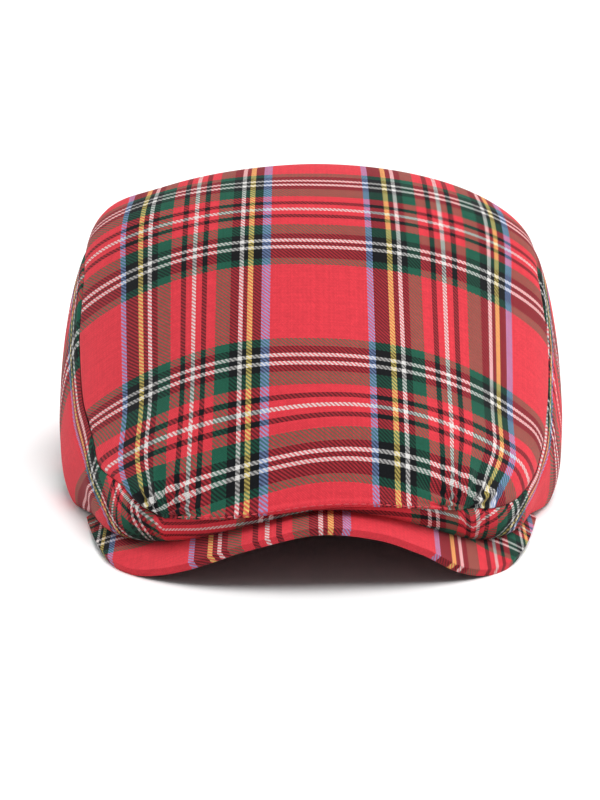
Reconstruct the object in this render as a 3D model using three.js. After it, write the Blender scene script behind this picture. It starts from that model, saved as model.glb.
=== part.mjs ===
// A flat cap of tartan wool twill, resting on a table by itself.
// Millimetres, +Z up. The cap faces -Y, the viewer's right is +X, and the table is z = 0.
// Four pieces: the top panel, the two side panels under it, and the short arched peak.
import * as THREE from 'three';

// Sizes
const CLOTH = 2.0; // wall of the top and side panels, two layers of cloth
const PEAK_THICK = 3.0; // the peak, cloth over its board
const SEAM_GAP = 0.45; // between the edges of two panels that meet at a seam
const FOOT_GAP = 0.4; // between the peak and the panel edge that stands on it
const HEM_TURN = 9.0; // cloth turned in flat under the side panels
const MIDDLE_Y = 5.1; // shift that brings the origin under the middle of the cap

// Steps of the meshes
const COLUMN_STEPS = 20; // from the middle of the top panel to its seam
const ROW_STEP = 0.5; // share of a row of the section table
const WALL_STEPS = 7; // from the seam to the foot of a side panel
const WIDTH_STEPS = 4; // across the peak
const TIP_STEPS = 3; // along the peak beyond the side panel's last foot on it

// Sections of the top panel from the lip at the front to the seam at the back.
// Each falls from its middle (mid) to its end on the side seam (end): rise and fall are the powers of that fall,
// and plan the power by which its bow backward lags behind it.
const TOP_SECTIONS = [
  { midY: -111.0, midZ: 29.8, endX: 54.0, endY: -97.0, endZ: 22.5, rise: 2.2, fall: 0.9, plan: 1.5 }, // seam
  { midY: -112.6, midZ: 31.8, endX: 58.5, endY: -93.5, endZ: 23.0, rise: 2.2, fall: 0.95, plan: 1.5 }, // lip
  { midY: -107.0, midZ: 38.0, endX: 63.0, endY: -89.8, endZ: 24.2, rise: 1.9, fall: 0.95, plan: 1.6 },
  { midY: -99.0, midZ: 46.0, endX: 70.5, endY: -79.5, endZ: 27.6, rise: 2.0, fall: 1.0, plan: 1.4 }, // front corner
  { midY: -83.4, midZ: 60.0, endX: 78.2, endY: -64.0, endZ: 31.5, rise: 2.1, fall: 1.05, plan: 1.1 },
  { midY: -65.2, midZ: 72.8, endX: 85.0, endY: -45.0, endZ: 36.6, rise: 2.3, fall: 1.0, plan: 1 },
  { midY: -45.5, midZ: 84.8, endX: 91.0, endY: -26.5, endZ: 44.0, rise: 2.3, fall: 1.1, plan: 1 },
  { midY: -22.5, midZ: 98.3, endX: 94.2, endY: -3.2, endZ: 59.7, rise: 2.4, fall: 1.15, plan: 1 },
  { midY: -12.0, midZ: 104.5, endX: 94.5, endY: 7.8, endZ: 69.4, rise: 2.5, fall: 1.1, plan: 1 },
  { midY: 7.2, midZ: 114.0, endX: 94.0, endY: 21.5, endZ: 82.0, rise: 2.2, fall: 1.35, plan: 1 },
  { midY: 28.4, midZ: 120.8, endX: 94.5, endY: 37.7, endZ: 88.5, rise: 2.1, fall: 1.75, plan: 1 },
  { midY: 48.0, midZ: 123.3, endX: 92.5, endY: 54.6, endZ: 92.0, rise: 1.9, fall: 1.85, plan: 1 }, // highest
  { midY: 67.0, midZ: 121.5, endX: 87.0, endY: 71.7, endZ: 93.5, rise: 1.8, fall: 1.85, plan: 1 },
  { midY: 86.5, midZ: 116.5, endX: 79.0, endY: 89.0, endZ: 94.0, rise: 1.8, fall: 1.95, plan: 1 },
  { midY: 104.5, midZ: 107.5, endX: 65.2, endY: 103.6, endZ: 92.6, rise: 1.9, fall: 1.75, plan: 1 },
  { midY: 116.5, midZ: 97.0, endX: 46.0, endY: 112.5, endZ: 92.0, rise: 2.0, fall: 1.5, plan: 1 }, // back seam
];

// Stations of the peak from its middle to a tip: outer and inner edge of its upper face,
// and the share of the width that shows in front of the cloth standing on it.
const PEAK_STATIONS = [
  { outX: 0.0, outY: -121.0, outZ: 26.0, inX: 0.0, inY: -74.0, inZ: 36.0, shows: 0.215 },
  { outX: 23.0, outY: -118.8, outZ: 21.5, inX: 20.0, inY: -72.0, inZ: 33.5, shows: 0.205 },
  { outX: 39.0, outY: -114.8, outZ: 14.5, inX: 36.0, inY: -68.0, inZ: 27.0, shows: 0.26 },
  { outX: 54.0, outY: -108.5, outZ: 6.5, inX: 50.0, inY: -60.0, inZ: 18.5, shows: 0.34 },
  { outX: 65.5, outY: -101.5, outZ: 3.0, inX: 60.0, inY: -53.0, inZ: 13.5, shows: 0.36 },
  { outX: 74.0, outY: -92.5, outZ: 3.0, inX: 68.0, inY: -46.0, inZ: 12.0, shows: 0.32 },
  { outX: 80.0, outY: -79.5, outZ: 3.0, inX: 74.0, inY: -44.0, inZ: 10.5, shows: 0.30 },
  { outX: 84.0, outY: -65.5, outZ: 3.0, inX: 78.5, inY: -42.0, inZ: 8.0, shows: 0.32 },
  { outX: 86.8, outY: -53.0, outZ: 3.0, inX: 82.0, inY: -40.0, inZ: 5.5, shows: 0.36 },
  { outX: 88.0, outY: -47.0, outZ: 3.0, inX: 84.5, inY: -40.5, inZ: 3.8, shows: 0.36 },
];

// Stations of a side panel along the seam. along: 0 to 1 from the front middle to the front corner,
// then 1 plus the number of the top section, then one more to the back middle.
// foot: a station of the peak where the panel stands on it, or a point of the hem on the table.
// bulge: how far the wall swells outward, most at the share low of its height; turn: share of HEM_TURN.
const SIDE_STATIONS = [
  { along: 0.0, onPeak: 0.0, bulge: 0.0, low: 0.5, turn: 0 }, // front middle
  { along: 0.4, onPeak: 1.0, bulge: 0.0, low: 0.5, turn: 0 },
  { along: 0.7, onPeak: 2.0, bulge: 0.3, low: 0.5, turn: 0 },
  { along: 1.0, onPeak: 3.05, bulge: 1.0, low: 0.5, turn: 0 }, // front corner
  { along: 1.25, onPeak: 3.3, bulge: 1.2, low: 0.5, turn: 0 },
  { along: 2.0, onPeak: 3.6, bulge: 1.6, low: 0.5, turn: 0 },
  { along: 3.0, onPeak: 3.95, bulge: 2.0, low: 0.5, turn: 0 },
  { along: 4.0, onPeak: 5.1, bulge: 3.0, low: 0.5, turn: 0 },
  { along: 5.0, onPeak: 6.4, bulge: 4.0, low: 0.45, turn: 0 },
  { along: 6.0, onPeak: 8.2, bulge: 4.5, low: 0.45, turn: 0 }, // over the peak's tip
  { along: 7.0, hemX: 95.5, hemY: -23.0, bulge: 5.2, low: 0.55, turn: 0.3 },
  { along: 8.0, hemX: 100.0, hemY: -1.0, bulge: 5.4, low: 0.5, turn: 1 },
  { along: 9.0, hemX: 101.5, hemY: 10.0, bulge: 5.7, low: 0.47, turn: 1 },
  { along: 10.0, hemX: 102.0, hemY: 25.0, bulge: 6.5, low: 0.45, turn: 1 },
  { along: 11.0, hemX: 101.0, hemY: 40.5, bulge: 6.5, low: 0.45, turn: 1 },
  { along: 12.0, hemX: 97.8, hemY: 58.0, bulge: 7.0, low: 0.5, turn: 1 },
  { along: 13.0, hemX: 91.0, hemY: 76.0, bulge: 7.5, low: 0.55, turn: 1 },
  { along: 14.0, hemX: 79.0, hemY: 93.5, bulge: 8.5, low: 0.6, turn: 1 },
  { along: 15.0, hemX: 63.5, hemY: 107.2, bulge: 9.0, low: 0.64, turn: 1 },
  { along: 16.0, hemX: 44.0, hemY: 117.0, bulge: 10.0, low: 0.66, turn: 1 },
  { along: 16.5, hemX: 22.0, hemY: 122.0, bulge: 10.0, low: 0.65, turn: 1 },
  { along: 17.0, hemX: 0.0, hemY: 123.5, bulge: 10.0, low: 0.65, turn: 1 }, // back middle
];

const vec = (x, y, z) => new THREE.Vector3(x, y, z);

// Value at a place along a table, by a cubic piece through the rows on both sides of it.
// level holds the slope at nought where the row begins or ends on the middle plane.
function along(knots, values, at, levelStart = false, levelEnd = false) {
  const last = knots.length - 1;
  let i = 0;
  while (i < last - 1 && at > knots[i + 1]) i += 1;
  const step = (k) => (values[k + 1] - values[k]) / (knots[k + 1] - knots[k]);
  const slope = (k) => {
    if (k === 0) return levelStart ? 0 : step(0);
    if (k === last) return levelEnd ? 0 : step(last - 1);
    const before = knots[k] - knots[k - 1];
    const after = knots[k + 1] - knots[k];
    return (step(k - 1) * after + step(k) * before) / (before + after);
  };
  const width = knots[i + 1] - knots[i];
  const t = (at - knots[i]) / width;
  const a = 2 * t ** 3 - 3 * t ** 2 + 1;
  const b = (t ** 3 - 2 * t ** 2 + t) * width;
  const c = -2 * t ** 3 + 3 * t ** 2;
  const d = (t ** 3 - t ** 2) * width;
  return a * values[i] + b * slope(i) + c * values[i + 1] + d * slope(i + 1);
}

// A reader for one column of a table whose rows are evenly numbered.
function columnOf(rows, name, levelStart = false) {
  const knots = rows.map((row, i) => i);
  const values = rows.map((row) => row[name]);
  return (at) => along(knots, values, at, levelStart);
}

const topColumns = {};
for (const name of Object.keys(TOP_SECTIONS[0])) topColumns[name] = columnOf(TOP_SECTIONS, name);

// Point of the top panel's outer face: a section number and a share of the half width.
function topPoint(section, share) {
  const { midY, midZ, endX, endY, endZ, rise, fall, plan } = topColumns;
  const s = Math.abs(share);
  const drop = 1 - Math.max(0, 1 - s ** rise(section)) ** (1 / fall(section));
  const y = midY(section) + (endY(section) - midY(section)) * drop ** plan(section);
  const z = midZ(section) + (endZ(section) - midZ(section)) * drop;
  return vec(endX(section) * share, y, z);
}

const peakColumns = {};
for (const name of Object.keys(PEAK_STATIONS[0])) {
  peakColumns[name] = columnOf(PEAK_STATIONS, name, !name.endsWith('X'));
}

// Point of the peak's upper face: a station and a share of the width from the outer edge.
function peakPoint(station, share) {
  const mix = (axis) => {
    const outer = peakColumns[`out${axis}`](station);
    return outer + (peakColumns[`in${axis}`](station) - outer) * share;
  };
  return vec(mix('X'), mix('Y'), mix('Z'));
}

// Inward unit normals of a grid of points, from the differences between neighbours.
function inwardNormals(grid) {
  const rows = grid.length - 1;
  const columns = grid[0].length - 1;
  return grid.map((line, i) => line.map((point, j) => {
    const down = grid[Math.min(i + 1, rows)][j].clone().sub(grid[Math.max(i - 1, 0)][j]);
    const across = line[Math.min(j + 1, columns)].clone().sub(line[Math.max(j - 1, 0)]);
    return down.cross(across).normalize();
  }));
}

// A closed mesh from loops of points that follow one another, each loop being one section.
// The two end loops are closed by the strips between their outer and inner points.
function loftLoops(loops, name, material) {
  const size = loops[0].length;
  const positions = [];
  for (const loop of loops) for (const p of loop) positions.push(p.x, p.y - MIDDLE_Y, p.z);
  const triangles = [];
  const quad = (a, b, c, d) => triangles.push(a, b, c, a, c, d);
  for (let i = 0; i + 1 < loops.length; i += 1) {
    for (let j = 0; j < size; j += 1) {
      const k = (j + 1) % size;
      quad(i * size + j, i * size + k, (i + 1) * size + k, (i + 1) * size + j);
    }
  }
  const close = (start, forward) => {
    for (let j = 0; j < size / 2 - 1; j += 1) {
      const corners = [j, j + 1, size - 2 - j, size - 1 - j].map((k) => start + k);
      if (forward) corners.reverse();
      quad(...corners);
    }
  };
  close(0, true);
  close((loops.length - 1) * size, false);
  return solidMesh(positions, triangles, name, material);
}

// Mesh with its faces turned outward.
function solidMesh(positions, triangles, name, material) {
  const at = (k) => vec(positions[3 * k], positions[3 * k + 1], positions[3 * k + 2]);
  let volume = 0;
  for (let i = 0; i < triangles.length; i += 3) {
    volume += at(triangles[i]).dot(at(triangles[i + 1]).cross(at(triangles[i + 2])));
  }
  if (volume < 0) {
    for (let i = 0; i < triangles.length; i += 3) {
      [triangles[i + 1], triangles[i + 2]] = [triangles[i + 2], triangles[i + 1]];
    }
  }
  const geometry = new THREE.BufferGeometry();
  geometry.setAttribute('position', new THREE.Float32BufferAttribute(positions, 3));
  geometry.setIndex(triangles);
  geometry.computeVertexNormals();
  const mesh = new THREE.Mesh(geometry, material);
  mesh.name = name;
  return mesh;
}

// Places of the meshes along their tables
const sectionPlaces = [];
for (let r = 0; r <= TOP_SECTIONS.length - 1 + 1e-6; r += ROW_STEP) sectionPlaces.push(r);
const halfShares = [];
for (let j = 0; j <= COLUMN_STEPS; j += 1) halfShares.push(1 - (1 - j / COLUMN_STEPS) ** 1.4);
const shares = [...halfShares.slice(1).reverse().map((s) => -s), ...halfShares];

// Outer face of the top panel
const topOuter = sectionPlaces.map((r) => shares.map((s) => topPoint(r, s)));
const topNormals = inwardNormals(topOuter);

// Walk along the right half of the top panel's edge: front middle, corner, side, back middle.
const lastRow = sectionPlaces.length - 1;
const middle = COLUMN_STEPS;
const lastColumn = shares.length - 1;
const walk = [];
for (let j = middle; j < lastColumn; j += 1) walk.push({ i: 0, j, along: halfShares[j - middle] });
for (let i = 0; i <= lastRow; i += 1) walk.push({ i, j: lastColumn, along: 1 + sectionPlaces[i] });
for (let j = lastColumn - 1; j >= middle; j -= 1) {
  walk.push({ i: lastRow, j, along: TOP_SECTIONS.length + 1 - halfShares[j - middle] });
}

// Foot of a side station: where the outer and the inner edge of the wall come down.
const sideKnots = SIDE_STATIONS.map((row) => row.along);
const peakRows = SIDE_STATIONS.filter((row) => row.onPeak !== undefined);
const peakKnots = peakRows.map((row) => row.along);
const lastOnPeak = peakKnots[peakKnots.length - 1];
const sideValue = (name, at) => along(sideKnots, SIDE_STATIONS.map((row) => row[name]), at, true, true);
const peakStationAt = (at) => along(peakKnots, peakRows.map((row) => row.onPeak), at);

function footOnPeak(station, inset) {
  const width = peakPoint(station, 0).distanceTo(peakPoint(station, 1));
  const foot = peakPoint(station, peakColumns.shows(station) + inset / width);
  foot.z += FOOT_GAP;
  return foot;
}

// Hem line on the table, which takes over from the peak behind its tip.
const hemPoints = SIDE_STATIONS.map((row) => {
  if (row.onPeak === undefined) return vec(row.hemX, row.hemY, 0);
  return footOnPeak(row.onPeak, 0);
});
const hemLine = (at) => vec(
  along(sideKnots, hemPoints.map((p) => p.x), at, false, false),
  along(sideKnots, hemPoints.map((p) => p.y), at, true, true),
  Math.max(0, along(sideKnots, hemPoints.map((p) => p.z), at, true, true)),
);

// Outer face of the right side panel
const sideOuter = walk.map(({ i, j, along: at }) => {
  const top = topOuter[i][j].clone();
  const foot = at <= lastOnPeak ? footOnPeak(peakStationAt(at), 0) : hemLine(at);
  return { top, foot, at };
});
const sideGrid = sideOuter.map(({ top, foot, at }, n) => {
  const before = sideOuter[Math.max(n - 1, 0)];
  const after = sideOuter[Math.min(n + 1, sideOuter.length - 1)];
  const run = after.top.clone().add(after.foot).sub(before.top).sub(before.foot);
  const outward = vec(run.y, -run.x, 0).normalize();
  if (n === 0) outward.set(0, -1, 0);
  if (n === sideOuter.length - 1) outward.set(0, 1, 0);
  const power = Math.log(0.5) / Math.log(sideValue('low', at));
  const bulge = Math.max(0, sideValue('bulge', at));
  const line = [];
  for (let k = 0; k <= WALL_STEPS; k += 1) {
    const t = k / WALL_STEPS;
    const swell = bulge * Math.sin(Math.PI * t ** power) ** 0.8;
    line.push(top.clone().lerp(foot, t).addScaledVector(outward, k === WALL_STEPS ? 0 : swell));
  }
  return line;
});
const sideNormals = inwardNormals(sideGrid);

// Both panels share one inward direction at their seam, so that their edges stay parallel.
const seamInward = walk.map(({ i, j }, n) => {
  const inward = topNormals[i][j].clone().add(sideNormals[n][0]).normalize();
  if (n === 0 || n === walk.length - 1) inward.setX(0).normalize();
  return inward;
});
walk.forEach(({ i, j }, n) => {
  topNormals[i][j] = seamInward[n].clone();
  topNormals[i][lastColumn - j] = seamInward[n].clone().setX(-seamInward[n].x);
});

const cloth = () => new THREE.MeshStandardMaterial({ color: 0xc23a42, roughness: 0.9, metalness: 0 });

// Top panel: each loop runs along a section on the outer face and back on the inner face.
function topPanel() {
  const loops = topOuter.map((line, i) => {
    const inner = line.map((p, j) => p.clone().addScaledVector(topNormals[i][j], CLOTH));
    return [...line, ...inner.reverse()];
  });
  return loftLoops(loops, 'top_panel', cloth());
}

// One side panel: each loop runs down the outer face, along the foot or the turned hem, and up again.
function sidePanel(name, sign) {
  const loops = sideGrid.map((line, n) => {
    const at = sideOuter[n].at;
    const end = WALL_STEPS;
    const outer = line.map((p) => p.clone());
    const inner = line.map((p, k) => {
      const inward = k === 0 ? seamInward[n] : sideNormals[n][k];
      return p.clone().addScaledVector(inward, CLOTH);
    });
    const fall = line[1].clone().sub(line[0]).normalize();
    outer[0].addScaledVector(fall, SEAM_GAP);
    inner[0].addScaledVector(fall, SEAM_GAP);
    const flat = sideNormals[n][end - 1].clone().setZ(0).normalize();
    if (n === 0) flat.set(0, 1, 0);
    if (n === sideGrid.length - 1) flat.set(0, -1, 0);
    const foot = outer[end];
    let heel;
    let heelTop;
    if (at <= lastOnPeak) {
      heel = footOnPeak(peakStationAt(at), CLOTH);
      heelTop = heel.clone().lerp(inner[end - 1], 0.3);
      inner[end] = heel.clone().lerp(inner[end - 1], 0.6);
    } else {
      const turn = CLOTH + (HEM_TURN - CLOTH) * Math.max(0, Math.min(1, sideValue('turn', at)));
      heel = foot.clone().addScaledVector(flat, turn);
      heelTop = heel.clone().add(vec(0, 0, CLOTH));
      inner[end] = foot.clone().addScaledVector(flat, CLOTH * 0.9).add(vec(0, 0, CLOTH * 1.2));
    }
    const loop = [...outer, heel, heelTop, ...inner.reverse()];
    for (const p of loop) {
      p.x = Math.max(p.x, SEAM_GAP / 2);
      if (n === 0 || n === sideGrid.length - 1) p.x = SEAM_GAP / 2;
      p.x *= sign;
    }
    return loop;
  });
  return loftLoops(loops, name, cloth());
}

// Peak: stations at the same places as the feet of the side panels, then on to the tips.
function peak() {
  const feet = walk.filter((w) => w.along <= lastOnPeak).map((w) => peakStationAt(w.along));
  const stations = feet.flatMap((k, n) => (n > COLUMN_STEPS ? [(feet[n - 1] + k) / 2, k] : [k]));
  const reached = stations[stations.length - 1];
  const tip = PEAK_STATIONS.length - 1;
  for (let k = 1; k <= TIP_STEPS; k += 1) stations.push(reached + ((tip - reached) * k) / TIP_STEPS);
  const loopAt = (station, sign) => {
    const upper = [];
    for (let k = 0; k <= WIDTH_STEPS; k += 1) {
      const p = peakPoint(station, k / WIDTH_STEPS);
      p.x *= sign;
      upper.push(p);
    }
    const lower = upper.map((p) => p.clone().setZ(Math.max(0, p.z - PEAK_THICK)));
    return [...upper, ...lower.reverse()];
  };
  const left = stations.slice(1).reverse().map((k) => loopAt(k, -1));
  const right = stations.map((k) => loopAt(k, 1));
  return loftLoops([...left, ...right], 'peak', cloth());
}

const cap = new THREE.Group();
cap.name = 'flat_cap';
cap.add(topPanel(), sidePanel('side_panel_left', -1), sidePanel('side_panel_right', 1), peak());

export default cap;
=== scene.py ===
import math
from collections import namedtuple

import bpy
import numpy as np
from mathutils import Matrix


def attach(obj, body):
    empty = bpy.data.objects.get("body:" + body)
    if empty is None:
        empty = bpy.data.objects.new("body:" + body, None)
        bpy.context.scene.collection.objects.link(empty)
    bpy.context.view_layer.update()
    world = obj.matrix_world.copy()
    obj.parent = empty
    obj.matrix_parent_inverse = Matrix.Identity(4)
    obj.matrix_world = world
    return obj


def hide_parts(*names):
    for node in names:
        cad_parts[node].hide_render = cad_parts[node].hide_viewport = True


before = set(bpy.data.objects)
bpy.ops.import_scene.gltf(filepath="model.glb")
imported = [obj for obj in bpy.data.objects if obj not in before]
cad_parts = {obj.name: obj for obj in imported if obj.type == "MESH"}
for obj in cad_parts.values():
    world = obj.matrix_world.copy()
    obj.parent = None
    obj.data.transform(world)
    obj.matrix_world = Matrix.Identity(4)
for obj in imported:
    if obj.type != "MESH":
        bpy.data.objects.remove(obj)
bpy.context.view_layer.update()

MM = 0.001
MIDDLE_Y = 5.1  # the zero of y in the tables below lies this far in front of the origin
CLOTH = 1.8  # wall of a panel
CLOTH_EDGE_ROUND = 0.35 * CLOTH  # radius of a panel's edges
PEAK_THICK = 3.0  # cloth over the peak's board
PEAK_EDGE_ROUND = 1.4
EDGE_STEPS = 3  # facets of a rounded edge
SHARP_EDGE = 60  # degrees, from which an edge is rounded
SEAM_GAP = 0.25  # between the edges of two panels that meet at a seam
FOOT_GAP = 0.4  # between the peak and the panel edge that stands on it
HEM_TURN = 7.8  # cloth turned in flat under the side panels
LEAST_TURN = 1.0  # what is turned in where the hem rises to the peak
FOOT_TURN = 1.2  # what is turned in at the foot that stands on the peak
SEAM_ROLL = 0.7  # how far a panel's edge rolls in at a seam
SEAM_REACH = 2.2  # width of that roll
FRONT_SKEW = 2.2  # the soft front hangs this much higher on the right than on the left
SKEW_REACH = 32.0  # distance from the middle where that is most
SKEW_FROM = (-70.0, -95.0)  # it comes in between these places towards the front
SKEW_ABOVE = (3.0, 14.0)  # and between these heights over the table

# Tartan: threads of each colour across one repeat of the warp and of the weft
THREAD = 0.42  # spacing of the threads
WARP_STRIPES = [
    ("blue", 6), ("black", 14), ("yellow", 5), ("black", 5), ("white", 4), ("black", 6),
    ("green", 13), ("red", 10), ("black", 5), ("red", 6), ("white", 4), ("red", 6),
    ("black", 5), ("red", 9), ("green", 14), ("black", 8), ("white", 4), ("black", 4),
    ("yellow", 5), ("black", 8), ("blue", 8), ("red", 89),
]
WEFT_STRIPES = [
    ("green", 8), ("black", 12), ("white", 4), ("black", 5), ("white", 4), ("black", 7),
    ("green", 13), ("red", 10), ("black", 5), ("red", 6), ("white", 4), ("red", 6),
    ("black", 5), ("red", 9), ("green", 14), ("black", 7), ("white", 4), ("black", 5),
    ("white", 4), ("black", 8), ("green", 9), ("red", 89),
]
MIDDLE_WARP = 78.5  # place on the warp of the top panel's middle line

# Top panel, from the seam under its lip to the seam at the back. Each section falls from its
# middle to its end on the side seam. weft is its place on the cloth from front to back, and bow
# and lean are how far the weft at its ends lies behind that, on both sides and on the right.
Section = namedtuple("Section", "mid_y mid_z end_x end_y end_z rise fall plan weft bow lean")
TOP_SECTIONS = [
    Section(-111.0, 29.8, 54.0, -97.0, 22.5, 2.2, 0.90, 1.5, -10.0, 15.0, -2.0),
    Section(-112.6, 31.8, 58.5, -93.5, 23.0, 2.2, 0.95, 1.5, -7.5, 14.0, -2.0),
    Section(-107.0, 38.0, 63.0, -89.8, 24.2, 1.9, 0.95, 1.6, 0.0, 12.0, -2.0),
    Section(-99.0, 46.0, 70.5, -79.5, 27.6, 2.0, 1.00, 1.4, 11.55, 7.0, -2.0),
    Section(-83.4, 60.0, 78.2, -64.0, 31.5, 2.1, 1.05, 1.1, 31.9, 1.0, -1.5),
    Section(-65.2, 72.8, 85.0, -45.0, 36.6, 2.3, 1.00, 1.0, 53.1, -5.5, 0.5),
    Section(-45.5, 84.8, 91.0, -26.5, 44.0, 2.3, 1.10, 1.0, 75.0, -4.5, 1.0),
    Section(-22.5, 98.3, 94.2, -3.2, 59.7, 2.4, 1.15, 1.0, 100.0, -4.0, 1.0),
    Section(-12.0, 104.5, 94.5, 7.8, 69.4, 2.5, 1.10, 1.0, 111.55, -3.5, 0.5),
    Section(7.2, 114.0, 94.0, 21.5, 82.0, 2.2, 1.35, 1.0, 131.9, -4.0, 2.0),
    Section(28.4, 120.8, 94.5, 37.7, 88.5, 2.1, 1.75, 1.0, 153.1, -4.5, 4.0),
    Section(48.0, 123.3, 92.5, 54.6, 92.0, 1.9, 1.85, 1.0, 172.0, -4.0, 3.0),
    Section(67.0, 121.5, 87.0, 71.7, 93.5, 1.8, 1.85, 1.0, 190.0, -3.0, 2.0),
    Section(86.5, 116.5, 79.0, 89.0, 94.0, 1.8, 1.95, 1.0, 208.0, -2.0, 1.0),
    Section(104.5, 107.5, 65.2, 103.6, 92.6, 1.9, 1.75, 1.0, 226.0, -1.0, 0.0),
    Section(116.5, 97.0, 46.0, 112.5, 92.0, 2.0, 1.50, 1.0, 241.0, 0.0, 0.0),
]

# Soft rises and dents of the top panel: where each lies, by section and share of the half width,
# how far it spreads, and its height
Swell = namedtuple("Swell", "section share sections shares height")
TOP_SWELLS = [
    Swell(11.5, -0.93, 0.6, 0.09, 2.4),
    Swell(11.0, 0.92, 0.8, 0.12, -0.8),
    Swell(11.0, 0.36, 1.5, 0.30, 0.8),
    Swell(5.6, -0.72, 1.2, 0.20, -1.2),
    Swell(4.3, 0.66, 1.0, 0.18, 0.9),
    Swell(7.2, 0.55, 1.4, 0.25, -0.7),
    Swell(2.6, -0.80, 0.7, 0.12, 1.2),
    Swell(2.4, 0.84, 0.7, 0.10, 1.0),
    Swell(7.6, -0.30, 1.6, 0.30, 0.6),
]

# Peak, from its middle to a tip: outer and inner edge of its upper face, and the share of its
# width that shows in front of the cloth standing on it.
Station = namedtuple("Station", "out_x out_y out_z in_x in_y in_z shows")
PEAK_STATIONS = [
    Station(0.0, -121.0, 26.0, 0.0, -74.0, 36.0, 0.215),
    Station(23.0, -118.8, 21.5, 20.0, -72.0, 33.5, 0.205),
    Station(39.0, -114.8, 14.5, 36.0, -68.0, 27.0, 0.26),
    Station(54.0, -108.5, 6.5, 50.0, -60.0, 18.5, 0.34),
    Station(65.5, -101.5, 3.0, 60.0, -53.0, 13.5, 0.36),
    Station(74.0, -92.5, 3.0, 68.0, -46.0, 12.0, 0.32),
    Station(80.0, -79.5, 3.0, 74.0, -44.0, 10.5, 0.30),
    Station(84.0, -65.5, 3.0, 78.5, -42.0, 8.0, 0.32),
    Station(86.8, -53.0, 3.0, 82.0, -40.0, 5.5, 0.36),
    Station(88.0, -47.0, 3.0, 84.5, -40.5, 3.8, 0.36),
]

# Side panel along its seam: 0 to 1 from the front middle to the front corner, then 1 plus the
# number of the top section, then one more to the back middle. on_peak is a station of the peak
# that it stands on, and hem a point on the table; the wall swells by bulge, most at the share
# low of its height, and turn is the share of the hem that is turned in.
Wall = namedtuple("Wall", "along on_peak hem_x hem_y bulge low turn")
SIDE_WALLS = [
    Wall(0.0, 0.0, None, None, 0.0, 0.50, 0.0),
    Wall(0.4, 1.0, None, None, 0.0, 0.50, 0.0),
    Wall(0.7, 2.0, None, None, 0.3, 0.50, 0.0),
    Wall(1.0, 3.05, None, None, 1.0, 0.50, 0.0),
    Wall(1.25, 3.3, None, None, 1.2, 0.50, 0.0),
    Wall(2.0, 3.6, None, None, 1.6, 0.50, 0.0),
    Wall(3.0, 3.95, None, None, 2.0, 0.50, 0.0),
    Wall(4.0, 5.1, None, None, 3.0, 0.50, 0.0),
    Wall(5.0, 6.4, None, None, 4.0, 0.45, 0.0),
    Wall(6.0, 8.2, None, None, 4.5, 0.45, 0.0),
    Wall(7.0, None, 95.5, -23.0, 5.2, 0.55, 0.3),
    Wall(8.0, None, 100.0, -1.0, 5.4, 0.50, 1.0),
    Wall(9.0, None, 101.5, 10.0, 5.7, 0.47, 1.0),
    Wall(10.0, None, 102.0, 25.0, 6.5, 0.45, 1.0),
    Wall(11.0, None, 101.0, 40.5, 6.5, 0.45, 1.0),
    Wall(12.0, None, 97.8, 58.0, 7.0, 0.50, 1.0),
    Wall(13.0, None, 91.0, 76.0, 7.5, 0.55, 1.0),
    Wall(14.0, None, 79.0, 93.5, 8.5, 0.60, 1.0),
    Wall(15.0, None, 63.5, 107.2, 9.0, 0.64, 1.0),
    Wall(16.0, None, 44.0, 117.0, 10.0, 0.66, 1.0),
    Wall(16.5, None, 22.0, 122.0, 10.0, 0.65, 1.0),
    Wall(17.0, None, 0.0, 123.5, 10.0, 0.65, 1.0),
]

# Cloth of each side panel along its seam. lap is how far the soft top panel comes down over the
# wall; below the plain seam line, the white middle line of the stripes lies at white, and the
# white and yellow pair at pair.
Lay = namedtuple("Lay", "along lap white pair")
LEFT_LAYS = [
    Lay(0.0, 0.0, 1.5, 20.0),
    Lay(0.55, 0.0, 3.6, 20.0),
    Lay(0.85, 0.0, 5.2, 20.0),
    Lay(1.5, 0.0, 3.6, 20.0),
    Lay(3.0, 0.0, 2.0, 20.0),
    Lay(3.6, 0.0, 2.0, 19.0),
    Lay(4.1, 0.3, 1.4, 15.0),
    Lay(4.5, 1.5, -2.0, 11.6),
    Lay(5.2, 3.5, -6.0, 9.0),
    Lay(5.8, 1.2, -10.0, 6.4),
    Lay(6.5, 0.0, -14.0, 4.4),
    Lay(7.2, 0.0, -13.5, 4.8),
    Lay(7.8, 0.0, -12.5, 6.0),
    Lay(9.0, 0.0, -10.0, 7.6),
    Lay(12.0, 0.0, -12.0, 6.0),
    Lay(17.0, 0.0, -5.0, 15.0),
]
RIGHT_LAYS = [
    Lay(0.0, 0.0, -2.0, 20.0),
    Lay(0.55, 0.0, -1.0, 20.0),
    Lay(0.78, 0.0, 0.4, 20.0),
    Lay(0.93, 0.0, 2.4, 20.0),
    Lay(1.25, 0.0, 6.6, 21.0),
    Lay(3.0, 3.0, 6.6, 22.0),
    Lay(3.5, 5.6, 6.6, 21.5),
    Lay(3.9, 7.5, 6.0, 18.0),
    Lay(4.5, 9.6, 2.0, 15.0),
    Lay(5.0, 10.4, -3.0, 13.8),
    Lay(5.7, 11.2, -3.0, 14.4),
    Lay(6.3, 9.3, -4.0, 12.0),
    Lay(6.9, 7.0, -6.0, 8.8),
    Lay(7.5, 6.6, -8.0, 7.2),
    Lay(8.5, 5.0, -9.0, 7.0),
    Lay(10.5, 0.0, -10.0, 6.0),
    Lay(12.0, 0.0, -12.0, 6.0),
    Lay(17.0, 0.0, -5.0, 15.0),
]
WHITE_LINE = 31.9  # place of the stripes' middle line on the warp
WHITE_PAIR = 53.1  # place of the white and yellow pair on the warp
PAIR_EDGE = 3.0  # from the middle of that pair to the far edge of its yellow line
CREASED = 6.7  # cloth beyond it, black and blue, that a crease along the side takes in
CREASE = 2.2  # what shows of that cloth


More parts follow.
